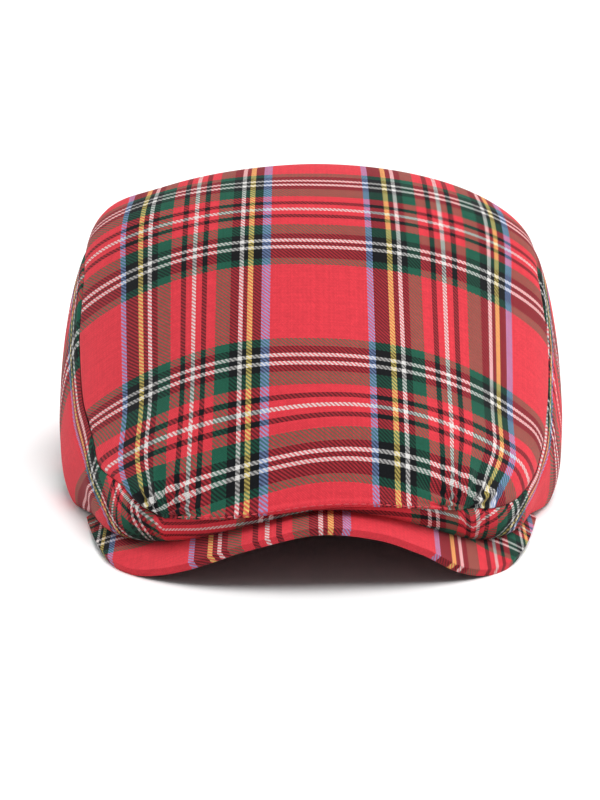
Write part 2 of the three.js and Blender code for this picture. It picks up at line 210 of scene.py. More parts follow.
def through(knots, values, at, level_start=False, level_end=False):
    """Smooth values at places along a table, by cubic pieces through its rows."""
    knots = np.asarray(knots, float)
    values = np.asarray(values, float)
    at = np.asarray(at, float)
    width = np.diff(knots)
    step = np.diff(values) / width
    slope = np.empty(len(values))
    slope[0] = 0.0 if level_start else step[0]
    slope[-1] = 0.0 if level_end else step[-1]
    slope[1:-1] = (step[:-1] * width[1:] + step[1:] * width[:-1]) / (width[:-1] + width[1:])
    i = np.clip(np.searchsorted(knots, at, side="left") - 1, 0, len(width) - 1)
    t = (at - knots[i]) / width[i]
    start = (2 * t ** 3 - 3 * t ** 2 + 1) * values[i] + (t ** 3 - 2 * t ** 2 + t) * width[i] * slope[i]
    end = (3 * t ** 2 - 2 * t ** 3) * values[i + 1] + (t ** 3 - t ** 2) * width[i] * slope[i + 1]
    return start + end


def lay_value(lays, name, places):
    """One column of the table of a side panel's cloth."""
    knots = [row.along for row in lays]
    return through(knots, [getattr(row, name) for row in lays], places, True, True)


def column(rows, name, at, level_start=False, level_end=False):
    """One column of an evenly numbered table, at places along it."""
    values = [getattr(row, name) for row in rows]
    return through(range(len(rows)), values, at, level_start, level_end)


def smooth(low, high, value):
    """0 at low, 1 at high, and a soft step between."""
    t = np.clip((value - low) / (high - low), 0.0, 1.0)
    return t * t * (3 - 2 * t)


def hump(value, middle, spread):
    return np.exp(-0.5 * ((value - middle) / spread) ** 2)


def unit(vectors):
    return vectors / np.maximum(np.linalg.norm(vectors, axis=-1, keepdims=True), 1e-9)


def top_point(section, share):
    """Point of the top panel's outer face, by section number and share of the half width."""
    get = {name: column(TOP_SECTIONS, name, section) for name in Section._fields}
    drop = 1 - np.maximum(0, 1 - np.abs(share) ** get["rise"]) ** (1 / get["fall"])
    x = get["end_x"] * share
    y = get["mid_y"] + (get["end_y"] - get["mid_y"]) * drop ** get["plan"]
    z = get["mid_z"] + (get["end_z"] - get["mid_z"]) * drop
    return np.stack([x, y, z], axis=-1)


def peak_point(station, share):
    """Point of the peak's upper face, by station and share of the width from its outer edge."""
    ends = []
    for edge in ("out", "in"):
        x = column(PEAK_STATIONS, edge + "_x", station)
        y = column(PEAK_STATIONS, edge + "_y", station, True)
        z = column(PEAK_STATIONS, edge + "_z", station, True)
        ends.append(np.stack([x, y, z], axis=-1))
    return ends[0] + (ends[1] - ends[0]) * np.asarray(share, float)[..., None]


def foot_on_peak(station):
    """Where a panel's edge stands on the peak."""
    foot = peak_point(station, column(PEAK_STATIONS, "shows", station, True))
    foot[..., 2] += FOOT_GAP
    return foot


def skewed(grid):
    """The grid with the soft front hanging a little higher on the right than on the left."""
    x = grid[..., 0] / SKEW_REACH
    rise = FRONT_SKEW * x * np.exp(0.5 - 0.5 * x ** 2) * smooth(*SKEW_FROM, grid[..., 1])
    moved = grid.copy()
    moved[..., 2] += rise * smooth(*SKEW_ABOVE, grid[..., 2])
    return moved


def outward_normals(grid):
    """Unit normals of a grid of points, on the side that its rows and columns give."""
    down = np.gradient(grid, axis=0)
    across = np.gradient(grid, axis=1)
    return unit(np.cross(across, down))


def arc_along(grid, axis):
    """Length along the rows or columns of a grid of points, from its first line."""
    steps = np.linalg.norm(np.diff(grid, axis=axis), axis=-1)
    zero = np.zeros_like(np.take(steps, [0], axis=axis))
    return np.concatenate([zero, np.cumsum(steps, axis=axis)], axis=axis)


def turn_threads_in(mesh, threads, thickness):
    """Carries the threads on round the edge of a walled grid, as cloth that is folded over it."""
    outward = np.zeros_like(threads)
    outward[0] += unit(threads[0] - threads[1])
    outward[-1] += unit(threads[-1] - threads[-2])
    outward[:, 0] += unit(threads[:, 0] - threads[:, 1])
    outward[:, -1] += unit(threads[:, -1] - threads[:, -2])
    shift = outward.reshape(-1, 2) * thickness / THREAD
    rows, columns = threads.shape[:2]
    first_edge_corner = 8 * (rows - 1) * (columns - 1)  # after the corners of both faces' squares
    corner = np.empty(len(mesh.loops), np.int32)
    mesh.loops.foreach_get("vertex_index", corner)
    places = np.empty(2 * len(corner), np.float32)
    mesh.uv_layers["threads"].data.foreach_get("uv", places)
    places = places.reshape(-1, 2)
    inner = corner - rows * columns
    folded = (inner >= 0) & (np.arange(len(corner)) >= first_edge_corner)
    places[folded] += shift[inner[folded]]
    mesh.uv_layers["threads"].data.foreach_set("uv", places.ravel())


def cloth_piece(name, grid, warp, weft, thickness, edge_round, outer, inner):
    """A panel of cloth: a flat grid shaped to the points, given its thread places and its wall."""
    rows, columns = grid.shape[:2]
    bpy.ops.object.select_all(action="DESELECT")
    bpy.ops.mesh.primitive_grid_add(x_subdivisions=columns - 1, y_subdivisions=rows - 1, size=1)
    piece = bpy.context.object
    piece.name = name
    mesh = piece.data
    mesh.name = name
    points = grid.reshape(-1, 3) - np.array([0.0, MIDDLE_Y, 0.0])
    mesh.vertices.foreach_set("co", (points * MM).ravel())
    corner = np.empty(len(mesh.loops), np.int32)
    mesh.loops.foreach_get("vertex_index", corner)
    threads = np.stack([warp.ravel(), weft.ravel()], axis=-1) / THREAD
    mesh.uv_layers[0].name = "threads"
    mesh.uv_layers[0].data.foreach_set("uv", threads[corner].ravel())
    mesh.update()
    mesh.materials.append(outer)
    mesh.materials.append(inner)
    wall = piece.modifiers.new("wall", "SOLIDIFY")
    wall.thickness = thickness * MM
    wall.offset = -1.0
    wall.use_even_offset = False
    wall.material_offset = 1
    wall.material_offset_rim = 0
    bpy.ops.object.modifier_apply(modifier="wall")
    turn_threads_in(mesh, threads.reshape(rows, columns, 2), thickness)
    edge = piece.modifiers.new("edge", "BEVEL")
    edge.width = edge_round * MM
    edge.segments = EDGE_STEPS
    edge.limit_method = "ANGLE"
    edge.angle_limit = math.radians(SHARP_EDGE)
    bpy.ops.object.modifier_apply(modifier="edge")
    for vertex in mesh.vertices:
        vertex.co.z = max(vertex.co.z, 0.0)
    bpy.ops.object.shade_smooth()
    return piece


def placed(piece, node):
    """Puts a piece on the cap in place of its plain solid."""
    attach(piece, "root")
    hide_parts(node)


def linear(hex_colour):
    """sRGB hex to the linear colour that a shader takes."""
    channels = [int(hex_colour[i:i + 2], 16) / 255 for i in (1, 3, 5)]
    return [c / 12.92 if c <= 0.04045 else ((c + 0.055) / 1.055) ** 2.4 for c in channels] + [1.0]


def add(tree, kind, inputs=None, **settings):
    """Adds a node with its settings, and links or sets its inputs."""
    made = tree.nodes.new(kind)
    for name, value in settings.items():
        setattr(made, name, value)
    for key, value in (inputs or {}).items():
        if isinstance(value, bpy.types.NodeSocket):
            tree.links.new(value, made.inputs[key])
        else:
            made.inputs[key].default_value = value
    return made


# Wool twill, dyed in the yarn: a dull surface with a faint sheen of loose fibres, whose colour
# comes from which thread lies on top, so stripes of two colours cross as fine slanting hatching;
# its colour also carries painted shade where threads dip under and beside dark threads.
YARN = {
    "red": "#E23C48",
    "black": "#15181C",
    "green": "#22654F",
    "blue": "#879FD2",
    "yellow": "#E9D173",
    "white": "#E6E3E0",
}
RAMP_STEPS = 255  # a ramp is read in this many steps, always at the step before
RED_LIGHTNESS = 0.19  # lightness of the red yarn, above which a thread paints no shade on the next
PAINTED_NEIGHBOUR_SHADE = 0.6  # painted shade: what is left of a thread's colour between black ones
PAINTED_DIP_SHADE = 0.42  # painted shade: what is left of a thread's colour where it dips under
FIBRE_BLEND = 0.14  # share of the crossing thread's colour that shows through a float
FLOAT = 2  # threads that each thread passes over, and then under
END_DIP = 0.6  # depth of a float's ends, where its sides are 1 deep
SPUN = (0.92, 1.06)  # light of the darkest and of the lightest yarn
MOTTLED = (0.9, 1.08)  # light of the darkest and of the lightest patch
MOTTLE = 2.6  # size of those patches
FUZZ = 0.5  # size of the tufts of loose fibres
RELIEF = 0.12  # height of the threads


def stripes(tree, place, table):
    """Colour of the thread at a place, from the repeat of stripes."""
    repeat = sum(count for _, count in table)
    share = add(tree, "ShaderNodeMath", {0: place, 1: 1 / repeat}, operation="MULTIPLY")
    turn = add(tree, "ShaderNodeMath", {0: share.outputs[0]}, operation="FRACT")
    nearest = add(tree, "ShaderNodeMath", {0: turn.outputs[0], 1: 0.5 / RAMP_STEPS}, operation="ADD")
    ramp = add(tree, "ShaderNodeValToRGB", {"Fac": nearest.outputs[0]})
    ramp.color_ramp.interpolation = "CONSTANT"
    stops = ramp.color_ramp.elements
    stops.remove(stops[1])
    start = 0
    for yarn, count in table:
        stop = stops.new(start / repeat) if start else stops[0]
        stop.color = linear(YARN[yarn])
        start += count
    return ramp.outputs["Color"]


def tartan_twill():
    material = bpy.data.materials.new("tartan_wool_twill")
    material.use_nodes = True
    tree = material.node_tree
    tree.nodes.clear()
    uv = add(tree, "ShaderNodeUVMap", uv_map="threads")
    place = add(tree, "ShaderNodeSeparateXYZ", {0: uv.outputs["UV"]})
    thread = []
    round_back = []
    for axis in (0, 1):
        whole = add(tree, "ShaderNodeMath", {0: place.outputs[axis]}, operation="FLOOR")
        middle = add(tree, "ShaderNodeMath", {0: whole.outputs[0], 1: 0.5}, operation="ADD")
        thread.append(middle.outputs[0])
        from_middle = {0: place.outputs[axis], 1: middle.outputs[0]}
        off = add(tree, "ShaderNodeMath", from_middle, operation="SUBTRACT")
        square = add(tree, "ShaderNodeMath", {0: off.outputs[0], 1: off.outputs[0]}, operation="MULTIPLY")
        round_back.append(square.outputs[0])
    warp = stripes(tree, thread[0], WARP_STRIPES)
    weft = stripes(tree, thread[1], WEFT_STRIPES)
    both = add(tree, "ShaderNodeMath", {0: thread[0], 1: thread[1]}, operation="ADD")
    turn = add(tree, "ShaderNodeMath", {0: both.outputs[0], 1: 2 * FLOAT}, operation="FLOORED_MODULO")
    on_top = add(tree, "ShaderNodeMath", {0: turn.outputs[0], 1: FLOAT - 0.5}, operation="GREATER_THAN")
    over = on_top.outputs[0]
    shown = add(tree, "ShaderNodeMix", {0: over, 6: weft, 7: warp}, data_type="RGBA")
    under = add(tree, "ShaderNodeMix", {0: over, 6: warp, 7: weft}, data_type="RGBA")
    blended = add(
        tree,
        "ShaderNodeMix",
        {0: FIBRE_BLEND, 6: shown.outputs[2], 7: under.outputs[2]},
        data_type="RGBA",
    )

    # each float is rounded across its thread and dips under the next thread at both ends: this gives the
    # relief below, and painted shade that darkens the colour towards a float's sides and ends
    weft_run = add(tree, "ShaderNodeMath", {0: place.outputs[0], 1: thread[1]}, operation="ADD")
    warp_run = add(tree, "ShaderNodeMath", {0: place.outputs[1], 1: thread[0]}, operation="ADD")
    run = add(tree, "ShaderNodeMix", {0: over, 2: weft_run.outputs[0], 3: warp_run.outputs[0]})
    floats = {0: run.outputs[0], 1: 1 / FLOAT, 2: 0.5 / FLOAT}
    float_share = add(tree, "ShaderNodeMath", floats, operation="MULTIPLY_ADD")
    float_share = add(tree, "ShaderNodeMath", {0: float_share.outputs[0]}, operation="FRACT")
    both_ways = {0: float_share.outputs[0], 1: 2.0, 2: -1.0}
    end = add(tree, "ShaderNodeMath", both_ways, operation="MULTIPLY_ADD")
    end = add(tree, "ShaderNodeMath", {0: end.outputs[0], 1: 4.0}, operation="POWER")
    edge = add(tree, "ShaderNodeMix", {0: over, 2: round_back[1], 3: round_back[0]})
    edge = add(tree, "ShaderNodeMath", {0: edge.outputs[0], 1: 4.0}, operation="MULTIPLY")
    depths = {0: end.outputs[0], 1: END_DIP, 2: edge.outputs[0]}
    sunk = add(tree, "ShaderNodeMath", depths, operation="MULTIPLY_ADD")
    # painted shade: the colour is darkened with the depth of the dip
    dimmed = {0: sunk.outputs[0], 1: 0.0, 2: 1 + END_DIP, 3: 1.0, 4: PAINTED_DIP_SHADE}
    depth = add(tree, "ShaderNodeMapRange", dimmed)

    # painted shade: a float is darkened where the thread under it is dark, for the light that dark threads
    # take from the threads that cross them
    lightness = add(tree, "ShaderNodeRGBToBW", {0: under.outputs[2]})
    share = add(
        tree,
        "ShaderNodeMapRange",
        {0: lightness.outputs[0], 1: 0.0, 2: RED_LIGHTNESS, 3: PAINTED_NEIGHBOUR_SHADE, 4: 1.0},
        clamp=True,
    )
    # each yarn is spun a little darker or lighter than the next, and the wool is mottled
    yarn_place = add(tree, "ShaderNodeMix", {0: over, 2: thread[1], 3: thread[0]})
    yarn = add(tree, "ShaderNodeTexWhiteNoise", {"W": yarn_place.outputs[0]}, noise_dimensions="1D")
    spun = add(tree, "ShaderNodeMapRange", {0: yarn.outputs["Value"], 3: SPUN[0], 4: SPUN[1]})
    where = add(tree, "ShaderNodeTexCoord")
    mottle = add(
        tree,
        "ShaderNodeTexNoise",
        {"Vector": where.outputs["Object"], "Scale": 1 / (MOTTLE * MM), "Detail": 3.0, "Roughness": 0.7},
    )
    patches = {0: mottle.outputs["Fac"], 1: 0.25, 2: 0.75, 3: MOTTLED[0], 4: MOTTLED[1]}
    patchy = add(tree, "ShaderNodeMapRange", patches)
    # the colour is multiplied by the painted shade of the dips and of dark neighbours, and by the yarn's
    # own tone
    light = depth.outputs[0]
    for part in (share, spun, patchy):
        light = add(tree, "ShaderNodeMath", {0: light, 1: part.outputs[0]}, operation="MULTIPLY").outputs[0]
    colour = add(
        tree,
        "ShaderNodeMix",
        {0: 1.0, 6: blended.outputs[2], 7: light},
        data_type="RGBA",
        blend_type="MULTIPLY",
    )

    # relief of the threads and of the loose fibres over them
    fuzz = add(
        tree,
        "ShaderNodeTexNoise",
        {"Vector": where.outputs["Object"], "Scale": 1 / (FUZZ * MM), "Detail": 2.0},
    )
    height = add(tree, "ShaderNodeMath", {0: fuzz.outputs["Fac"], 1: sunk.outputs[0]}, operation="SUBTRACT")
    bump = add(
        tree,
        "ShaderNodeBump",
        {"Strength": 0.35, "Distance": RELIEF * MM, "Height": height.outputs[0]},
    )
    rough = add(tree, "ShaderNodeMapRange", {0: fuzz.outputs["Fac"], 3: 0.78, 4: 0.96})
    surface = add(
        tree,
        "ShaderNodeBsdfPrincipled",
        {
            "Base Color": colour.outputs[2],
            "Roughness": rough.outputs[0],
            "Normal": bump.outputs[0],
            "Specular IOR Level": 0.1,
            "Sheen Weight": 0.06,
            "Sheen Roughness": 0.5,
        },
    )
    add(tree, "ShaderNodeOutputMaterial", {"Surface": surface.outputs[0]})
    return material


# Plain woven brown cotton behind the twill, which warms the dark of the hollow: matt, with a fine
# checked weave twice as coarse as its thread so that it shows.
def brown_cotton():
    material = bpy.data.materials.new("brown_cotton_backing")
    material.use_nodes = True
    tree = material.node_tree
    surface = tree.nodes["Principled BSDF"]
    uv = add(tree, "ShaderNodeUVMap", uv_map="threads")
    weave = add(
        tree,
        "ShaderNodeTexChecker",
        {
            "Vector": uv.outputs["UV"],
            "Color1": linear("#7A4C4E"),
            "Color2": linear("#6A4042"),
            "Scale": 0.5,
        },
    )
    bump = add(
        tree,
        "ShaderNodeBump",
        {"Strength": 0.3, "Distance": 0.1 * MM, "Height": weave.outputs["Fac"]},
    )
    tree.links.new(weave.outputs["Color"], surface.inputs["Base Color"])
    tree.links.new(bump.outputs[0], surface.inputs["Normal"])
    surface.inputs["Roughness"].default_value = 0.9
    surface.inputs["Specular IOR Level"].default_value = 0.15
    return material


# Polyester sewing thread in the red of the field: smoother than the wool, so it catches light.
def sewing_thread():
    material = bpy.data.materials.new("red_sewing_thread")
    material.use_nodes = True
    tree = material.node_tree
    surface = tree.nodes["Principled BSDF"]
    where = add(tree, "ShaderNodeTexCoord")
    twist = add(
        tree,
        "ShaderNodeTexNoise",
        {"Vector": where.outputs["Object"], "Scale": 1 / (0.4 * MM), "Detail": 1.0},
    )
    dye = add(tree, "ShaderNodeValToRGB", {"Fac": twist.outputs["Fac"]})
    dye.color_ramp.elements[0].color = linear("#B82F3A")
    dye.color_ramp.elements[1].color = linear("#DC4A54")
    tree.links.new(dye.outputs["Color"], surface.inputs["Base Color"])
    surface.inputs["Roughness"].default_value = 0.55
    return material


cloth = tartan_twill()
backing = brown_cotton()
stitch_thread = sewing_thread()


def spread(*runs):
    """Places along a table from runs of (start, end, steps)."""
    places = [np.linspace(a, b, n, endpoint=False) for a, b, n in runs]
    return np.concatenate(places + [[runs[-1][1]]])


# Walls of the side panels, worked out for the right and mirrored for the left
WALL_KNOTS = [row.along for row in SIDE_WALLS]
PEAK_WALLS = [row for row in SIDE_WALLS if row.on_peak is not None]
LAST_ON_PEAK = PEAK_WALLS[-1].along
WALL_FINE = np.linspace(0, 1, 121)


def seam_line(places):
    """Right half of the top panel's edge, from the front middle round to the back middle."""
    last = len(TOP_SECTIONS) - 1
    section = np.clip(places - 1, 0, last)
    share = np.where(places < 1, places, np.where(places > last + 1, last + 2 - places, 1.0))
    return top_point(section, share)


def foot_line(places):
    """Lower edge of the side panel's wall: on the peak, then on the table."""
    peak_knots = [row.along for row in PEAK_WALLS]
    station = through(peak_knots, [row.on_peak for row in PEAK_WALLS], np.minimum(places, LAST_ON_PEAK))
    on_peak = foot_on_peak(station)
    hem = []
    for row in SIDE_WALLS:
        if row.on_peak is None:
            hem.append(np.array([row.hem_x, row.hem_y, 0.0]))
        else:
            hem.append(foot_on_peak(np.array(row.on_peak)))
    hem = np.array(hem)
    on_table = np.stack(
        [
            through(WALL_KNOTS, hem[:, 0], places),
            through(WALL_KNOTS, hem[:, 1], places, True, True),
            np.maximum(0, through(WALL_KNOTS, hem[:, 2], places, True, True)),
        ],
        axis=-1,
    )
    return np.where((places <= LAST_ON_PEAK)[:, None], on_peak, on_table)


def wall_value(name, places):
    values = [getattr(row, name) for row in SIDE_WALLS]
    return through(WALL_KNOTS, values, places, True, True)


def level_outward(places):
    """Level direction out of the wall at places along it."""
    run = np.gradient(seam_line(places) + foot_line(places), axis=0)
    outward = unit(np.stack([run[:, 1], -run[:, 0], np.zeros(len(run))], axis=-1))
    outward[places == 0] = (0, -1, 0)
    outward[places == WALL_KNOTS[-1]] = (0, 1, 0)
    return outward


def wall_points(places):
    """Wall of the right side panel, from the plain seam line down to its foot."""
    top = seam_line(places)
    foot = foot_line(places)
    power = math.log(0.5) / np.log(wall_value("low", places))
    bulge = np.maximum(0, wall_value("bulge", places))
    t = WALL_FINE[None, :]
    swell = bulge[:, None] * np.maximum(0, np.sin(math.pi * t ** power[:, None])) ** 0.8
    straight = top[:, None] + (foot - top)[:, None] * t[..., None]
    return straight + level_outward(places)[:, None] * swell[..., None]


def along_lines(points, arcs, wanted):
    """Points at the wanted distances along each row of points."""
    rows = []
    for line, arc, at in zip(points, arcs, wanted):
        rows.append(np.stack([np.interp(at, arc, line[:, k]) for k in range(line.shape[1])], axis=-1))
    return np.stack(rows)


def rolled_in(grid, normals, distance):
    """The grid with its edge rolled in, where distance is how far each point lies from the seam."""
    depth = SEAM_ROLL * np.clip(1 - distance / SEAM_REACH, 0, 1) ** 2
    return grid - normals * depth[..., None]


# Top panel
TOP_ROWS = spread((0, 2, 26), (2, 14, 108), (14, 15, 14))
HALF_SHARES = 1 - (1 - np.linspace(0, 1, 97)) ** 1.2
FOLD_EASE = 9.0  # how far from the plain seam line the lapping cloth is eased over it
FOLD_PASSES = 60
FOLD_FULL_LAP = 4.0  # lap from which it is eased in full
LIP_STITCH = 4.2  # distance of the sewn line above the seam under the lip
LIP_START = 0.6  # the lip swells from this far above the seam
LIP_PUFF = 0.9  # how far it swells between there and the sewn line
PUFF_SPREAD = 1.5
SEWN_DIP = 0.35  # how far the sewn line is drawn in
DIP_SPREAD = 0.7
STITCH_STEP = 3.0  # from one stitch of that line to the next
STITCH_LENGTH = 2.3
STITCH_ROUND = 0.24  # half the thickness of its thread
STITCH_LIFT = 0.1  # how far the middle of the thread lies over the cloth
STITCH_SPAN = 51.0  # how far the line runs to each side of the middle
CORNER_SECTION = 0.6  # where the lip is drawn in at its corners, by section
CORNER_SHARE = 0.97  # and by share of the half width
CORNER_FOLDS = 0.7  # height of the small folds that run out from there
CORNER_FOLD_WIDTH = 7.5  # of each fold, at the next distance
CORNER_FOLD_RADIUS = 16.0
CORNER_FOLD_START = (2.0, 7.0)  # they rise between these distances
CORNER_FOLD_END = (26.0, 10.0)  # and fade between these


def half_top(sign, lays):
    """Half of the top panel from its middle to its edge: points, with the share of the half width."""
    places = 1 + TOP_ROWS
    shares = np.linspace(0, 1, 161)
    plain = top_point(TOP_ROWS[:, None], shares[None, :])
    plain_arcs = arc_along(plain, 1)
    walls = wall_points(places)
    wall_arcs = arc_along(walls, 1)
    laps = np.maximum(0, lay_value(lays, "lap", places))
    rows = []
    for i, lap in enumerate(laps):
        reach = plain_arcs[i, -1]
        arcs = np.concatenate([plain_arcs[i], reach + wall_arcs[i, 1:]])
        line = np.concatenate([plain[i], walls[i, 1:]])
        past_end = wall_arcs[i, 1:] / column(TOP_SECTIONS, "end_x", TOP_ROWS[i])
        share = np.concatenate([shares, 1 + past_end])
        even = np.linspace(0, reach + lap, 240)
        both = np.column_stack([line, share])
        both = along_lines(both[None], arcs[None], even[None])[0]
        ease = np.clip(1 - np.abs(even - reach) / FOLD_EASE, 0, 1) * min(1.0, lap / FOLD_FULL_LAP)
        ease *= smooth(0.0, 3.0, reach + lap - even)  # not at the edge itself
        for _ in range(FOLD_PASSES):
            mean = 0.5 * (both[:-2, :3] + both[2:, :3])
            both[1:-1, :3] += 0.5 * ease[1:-1, None] * (mean - both[1:-1, :3])
        rows.append(along_lines(both[None], even[None], (HALF_SHARES * (reach + lap))[None])[0])
    half = np.stack(rows)
    half[..., 0] *= sign
    half[..., 3] *= sign
    return half


def top_threads(grid, shares):
    """Warp and weft places of the top panel's points."""
    rows = TOP_ROWS[:, None]
    across = arc_along(grid, 1)
    from_middle = across - across[:, [len(HALF_SHARES) - 1]]
    side = np.sign(shares)
    out = np.abs(grid[..., 0])
    # the warp is eased out on the shoulders, drawn in at the lip's corners, and turned on the right
    # of the highest part: how far, and between which distances from the middle and which sections
    eased = -2.6 * smooth(45.0, 78.0, out) * smooth(2.8, 4.2, rows) * smooth(11.0, 9.0, rows)
    drawn_left = 4.5 * smooth(46.0, 66.0, -grid[..., 0]) * smooth(3.8, 2.0, rows)
    drawn_right = 7.5 * smooth(46.0, 66.0, grid[..., 0]) * smooth(4.3, 2.2, rows)
    turned = 1.6 * smooth(8.0, 10.5, rows) * smooth(0.0, 50.0, grid[..., 0])
    warp = from_middle + MIDDLE_WARP + side * (eased + drawn_left + drawn_right) + turned
    weft = column(TOP_SECTIONS, "weft", rows)
    weft = weft + column(TOP_SECTIONS, "bow", rows) * shares ** 2
    weft = weft + column(TOP_SECTIONS, "lean", rows) * shares
    return warp, weft


def soft_top(grid, shares, normals):
    """The top panel's points with its soft rises, its lip and the folds at its corners."""
    rows = TOP_ROWS[:, None]
    height = np.zeros(grid.shape[:2])
    for swell in TOP_SWELLS:
        along = hump(rows, swell.section, swell.sections)
        height += swell.height * along * hump(shares, swell.share, swell.shares)
    from_seam = arc_along(grid, 0)
    front = smooth(1.0, 0.9, np.abs(shares))
    height += LIP_PUFF * hump(from_seam, 0.5 * LIP_STITCH + LIP_START, PUFF_SPREAD) * front
    height -= SEWN_DIP * hump(from_seam, LIP_STITCH + LIP_START, DIP_SPREAD) * front
    for side in (-1, 1):
        corner = top_point(np.array(CORNER_SECTION), np.array(CORNER_SHARE * side))
        away = grid - corner
        reach = np.linalg.norm(away, axis=-1)
        turn = np.arctan2(away[..., 2] + 0.3 * away[..., 1], away[..., 0] * side + 1e-6)
        folds = np.cos(2 * math.pi * turn * CORNER_FOLD_RADIUS / CORNER_FOLD_WIDTH)
        shown = smooth(*CORNER_FOLD_START, reach) * smooth(*CORNER_FOLD_END, reach)
        height += CORNER_FOLDS * folds * shown
    return grid + normals * height[..., None]


def make_lip_stitches(grid, normals):
    """A row of stitches through the lip, each a small pill of thread lying on the cloth."""
    from_seam = arc_along(grid, 0)
    line = []
    lift = []
    for j in range(grid.shape[1]):
        line.append([np.interp(LIP_STITCH, from_seam[:, j], grid[:, j, k]) for k in range(3)])
        lift.append([np.interp(LIP_STITCH, from_seam[:, j], normals[:, j, k]) for k in range(3)])
    line = np.array(line)
    lift = unit(np.array(lift))
    place = arc_along(line[None], 1)[0]
    middle = place[len(HALF_SHARES) - 1]
    steps = np.arange(-STITCH_SPAN, STITCH_SPAN + STITCH_STEP, STITCH_STEP) + middle
    made = []
    for step in steps:
        at = np.array([np.interp(step, place, line[:, k]) for k in range(3)])
        ahead = np.array([np.interp(step + 0.5, place, line[:, k]) for k in range(3)])
        up = np.array([np.interp(step, place, lift[:, k]) for k in range(3)])
        run = unit(ahead - at)
        side = unit(np.cross(up, run))
        bpy.ops.mesh.primitive_uv_sphere_add(segments=8, ring_count=6, radius=1)
        stitch = bpy.context.object
        over = np.cross(run, side)
        turn = np.column_stack([run * STITCH_LENGTH / 2, side * STITCH_ROUND, over * STITCH_ROUND])
        centre = at + up * STITCH_LIFT - np.array([0.0, MIDDLE_Y, 0.0])
        spots = np.empty(3 * len(stitch.data.vertices))
        stitch.data.vertices.foreach_get("co", spots)
        placed_spots = (spots.reshape(-1, 3) @ turn.T + centre) * MM
        stitch.data.vertices.foreach_set("co", placed_spots.ravel())
        made.append(stitch)
    bpy.ops.object.select_all(action="DESELECT")
    for stitch in made:
        stitch.select_set(True)
    bpy.context.view_layer.objects.active = made[0]
    bpy.ops.object.join()
    row = bpy.context.object
    row.name = "lip_stitches"
    row.data.name = "lip_stitches"
    row.data.materials.append(stitch_thread)
    bpy.ops.object.shade_smooth()
    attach(row, "root")


def make_top_panel():
    left = half_top(-1, LEFT_LAYS)
    right = half_top(1, RIGHT_LAYS)
    whole = np.concatenate([left[:, :0:-1], right], axis=1)
    grid = whole[..., :3]
    shares = whole[..., 3]
    warp, weft = top_threads(grid, shares)
    normals = outward_normals(grid)
    across = arc_along(grid, 1)
    down = arc_along(grid, 0)
    edges = [across, across[:, -1:] - across, down, down[-1:] - down]
    grid = soft_top(grid, shares, normals)
    grid = rolled_in(grid, normals, np.minimum.reduce(edges))
    grid = skewed(grid)
    piece = cloth_piece("top_cloth", grid, warp, weft, CLOTH, CLOTH_EDGE_ROUND, cloth, backing)
    make_lip_stitches(grid, outward_normals(grid))
    placed(piece, "top_panel")


# Side panels
SIDE_PLACES = spread((0, 1, 70), (1, 7, 130), (7, 16, 110), (16, 17, 24))
SIDE_SHARES = np.linspace(0, 1, 45) ** 1.1
HEM_SHARES = np.array([0.15, 0.4, 0.7, 1.0])  # rows of points across the turned-in hem
LEFT_WEFT = 127.9  # place on the weft of the left panel's front end
RIGHT_WEFT = 99.5  # and of the right panel's
LOW_STRIP = (4.0, 12.0)  # wall heights between which the seam's roll widens
NARROW_ROLL = 0.35  # share of the roll's width that is left on the low strip above the peak
FOOT_ROLL = 1.2  # how far the foot that stands on the peak rolls in, which leaves a shadow there
FOOT_REACH = 2.5
CREASE_DEPTH = 0.8
CREASE_WIDTH = 1.3


def left_bends(down, along):
    """How far the weft of the left panel bends away from straight down its wall.

    down is the distance from the seam, and along the distance from the front middle.
    """
    corner = -0.75 * np.maximum(0, down - 2.0) * hump(along, 68.0, 10.0)
    drawn = -11.0 * smooth(74.0, 90.0, along)
    seam_stretch = smooth(80.0, 110.0, along) * smooth(160.0, 130.0, along)
    at_seam = 6.0 * np.clip(1 - down / 6.0, 0, 1) ** 1.5 * seam_stretch
    low_stretch = smooth(88.0, 104.0, along) * smooth(165.0, 125.0, along)
    low = 0.95 * np.maximum(0, down - 13.0) * low_stretch
    held_back = 0.25 * np.clip(along - 135.0, 0, 60.0)
    return corner + drawn + at_seam + low + held_back


def right_bends(down, along):
    """The same for the right panel."""
    bend = 0.5 * np.maximum(0, 18.0 - down) - 5.0 * hump(down, 22.0, 9.0)
    return bend * smooth(100.0, 130.0, along) * smooth(240.0, 190.0, along)


def side_threads(lays, down, along, weft_start, bends):
    """Warp and weft places of a side panel's points, its warp running round the cap."""
    white = lay_value(lays, "white", SIDE_PLACES)[:, None]
    pair = lay_value(lays, "pair", SIDE_PLACES)[:, None]
    inside = WHITE_LINE + (WHITE_PAIR - WHITE_LINE) * (down - white) / (pair - white)
    beyond = down - pair
    take_in = smooth(3.6, 4.8, SIDE_PLACES)[:, None] * smooth(12.0, 9.0, SIDE_PLACES)[:, None]
    taken = (CREASED - CREASE) * take_in * np.clip((beyond - PAIR_EDGE) / CREASE, 0, 1)
    warp = np.where(beyond < 0, inside, WHITE_PAIR + beyond + taken)
    return warp, weft_start - along + bends(down, along)


